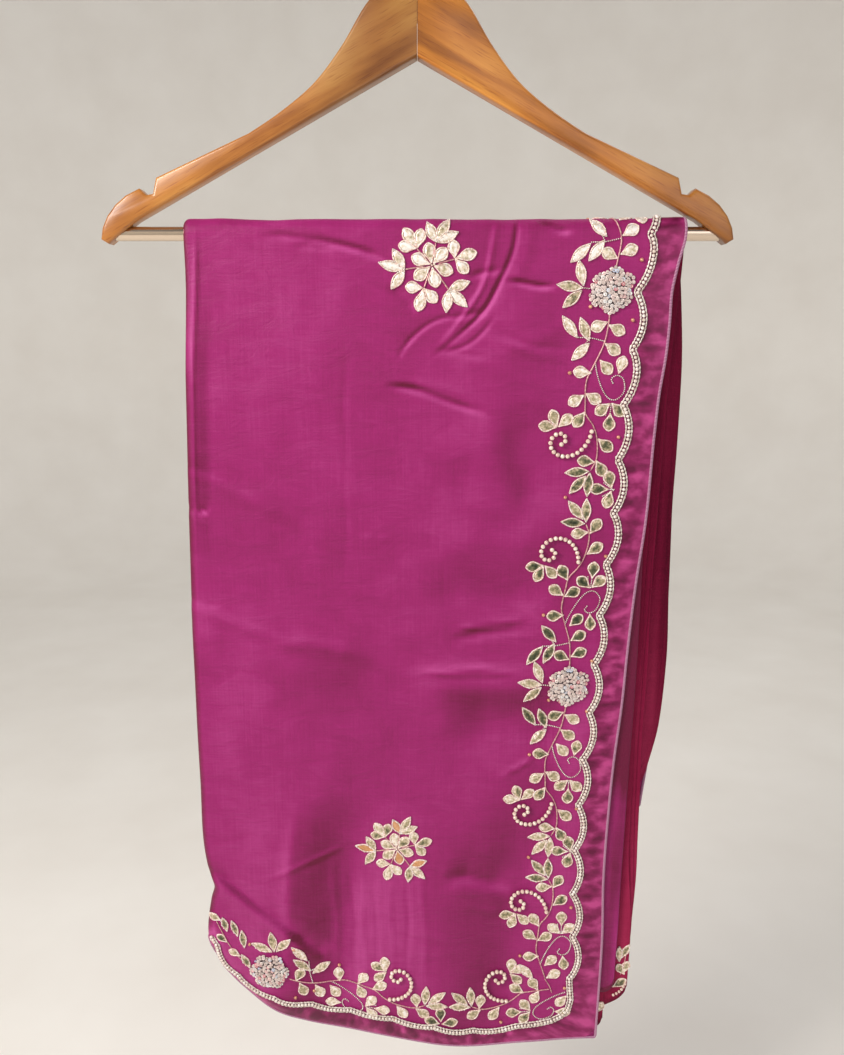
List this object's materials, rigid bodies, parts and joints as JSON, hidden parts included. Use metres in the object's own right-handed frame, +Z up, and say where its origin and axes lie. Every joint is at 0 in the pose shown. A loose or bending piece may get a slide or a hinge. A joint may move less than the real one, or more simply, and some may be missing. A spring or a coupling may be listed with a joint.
{
  "type": "silk saree on a wooden hanger",
  "caption": "Folded silk saree with gold ribbon-work border, bead-edged scallops and piping, hung over the bar of a wooden hanger with a wire hook.",
  "frame": {"origin": "inside top of the hook, where the rail carries it", "axes": "+Z up, -Y out of the front fall, +X to the right as seen from the front"},
  "size_m": [0.43, 0.0347, 0.8622],
  "materials": {
    "silk": "plain-woven silk with slubs, soft sheen",
    "silk_shade": "the same silk, folded inside the stack",
    "facing": "satin hem facing, lightly puckered",
    "piping": "corded piping in a paler mauve",
    "beads": "cream and silver bead rows",
    "gota": "pale gold metallic ribbon petals with corded outlines",
    "sequin": "small silver and pink sequins",
    "wood_light": "varnished, honey coloured",
    "wood_dark": "varnished, browner",
    "steel": "polished"
  },
  "bodies": {
    "root": {"hanger_arm_left": "wood_light", "hanger_arm_right": "wood_dark", "hanger_bar": "steel", "hanger_hook": "steel", "outer_layer_front": "silk", "outer_layer_back": "silk", "hidden_layers_front": "silk_shade", "hidden_layers_back": "silk_shade", "second_fold_front": "silk_shade", "third_fold_front": "silk_shade", "side_facing_front": "facing", "hem_facing_front": "facing", "piping_front": "piping", "bead_edging_front": "beads", "side_facing_back": "facing", "hem_facing_back": "facing", "piping_back": "piping", "bead_edging_back": "beads", "vine_side_1": "gota", "vine_side_2": "gota", "vine_side_3": "gota", "vine_side_4": "gota", "vine_hem_1": "gota", "vine_hem_2": "gota", "sequin_flower_front_1": "sequin", "sequin_flower_front_2": "sequin", "sequin_flower_front_hem": "sequin", "sequin_flower_back": "sequin", "sequin_flower_back_hem": "sequin", "buta_top": "gota", "buta_low": "gota", "buta_back": "gota"}
  },
  "joints": []
}
